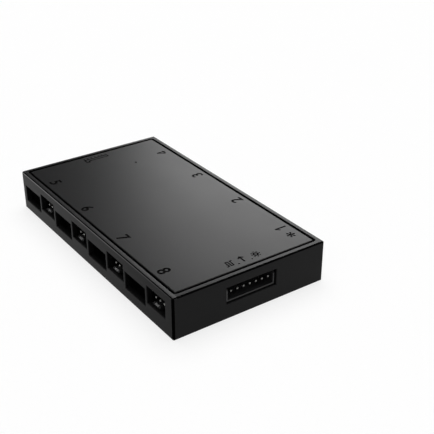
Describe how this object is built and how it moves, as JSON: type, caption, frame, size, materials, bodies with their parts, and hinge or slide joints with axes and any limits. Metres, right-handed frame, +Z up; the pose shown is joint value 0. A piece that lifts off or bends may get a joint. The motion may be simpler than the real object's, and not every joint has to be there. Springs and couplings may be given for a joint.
{
  "type": "fan controller hub",
  "caption": "Flat rectangular black plastic hub with rows of fan and light sockets along both long sides, a signal header in one end, a power inlet in the other and an inset flat cover.",
  "frame": {"origin": "centre of the underside, on the table", "axes": "+Y along the hub from the signal end to the power end, +Z up through the cover, +X to the side with ports 1 to 4"},
  "size_m": [0.061, 0.11, 0.0156],
  "materials": {
    "case_plastic": "satin black moulded plastic",
    "header_plastic": "black connector plastic",
    "contact_metal": "tin plated",
    "board_laminate": "black solder mask",
    "chip_plastic": "moulded",
    "can_metal": "drawn can",
    "screw_metal": "black steel screw",
    "lamp_plastic": "clear lens",
    "chip_ceramic": "ceramic"
  },
  "bodies": {
    "root": {"base_shell": "case_plastic", "capacitor_1": "can_metal", "capacitor_2": "can_metal", "case_screws": "screw_metal", "chip_resistors": "chip_ceramic", "circuit_board": "board_laminate", "control_header": "header_plastic", "control_pins": "contact_metal", "driver_chip": "chip_plastic", "fan_header_1": "header_plastic", "fan_header_2": "header_plastic", "fan_header_3": "header_plastic", "fan_header_4": "header_plastic", "fan_header_5": "header_plastic", "fan_header_6": "header_plastic", "fan_header_7": "header_plastic", "fan_header_8": "header_plastic", "fan_pins_1": "contact_metal", "fan_pins_2": "contact_metal", "fan_pins_3": "contact_metal", "fan_pins_4": "contact_metal", "fan_pins_5": "contact_metal", "fan_pins_6": "contact_metal", "fan_pins_7": "contact_metal", "fan_pins_8": "contact_metal", "light_header_1": "header_plastic", "light_header_2": "header_plastic", "light_header_3": "header_plastic", "light_header_4": "header_plastic", "light_header_5": "header_plastic", "light_header_6": "header_plastic", "light_header_7": "header_plastic", "light_header_8": "header_plastic", "light_pins_1": "contact_metal", "light_pins_2": "contact_metal", "light_pins_3": "contact_metal", "light_pins_4": "contact_metal", "light_pins_5": "contact_metal", "light_pins_6": "contact_metal", "light_pins_7": "contact_metal", "light_pins_8": "contact_metal", "logic_chip": "chip_plastic", "power_contacts": "contact_metal", "power_socket": "header_plastic", "status_light": "lamp_plastic", "top_cover": "case_plastic", "voltage_regulator": "chip_plastic"}
  },
  "joints": []
}
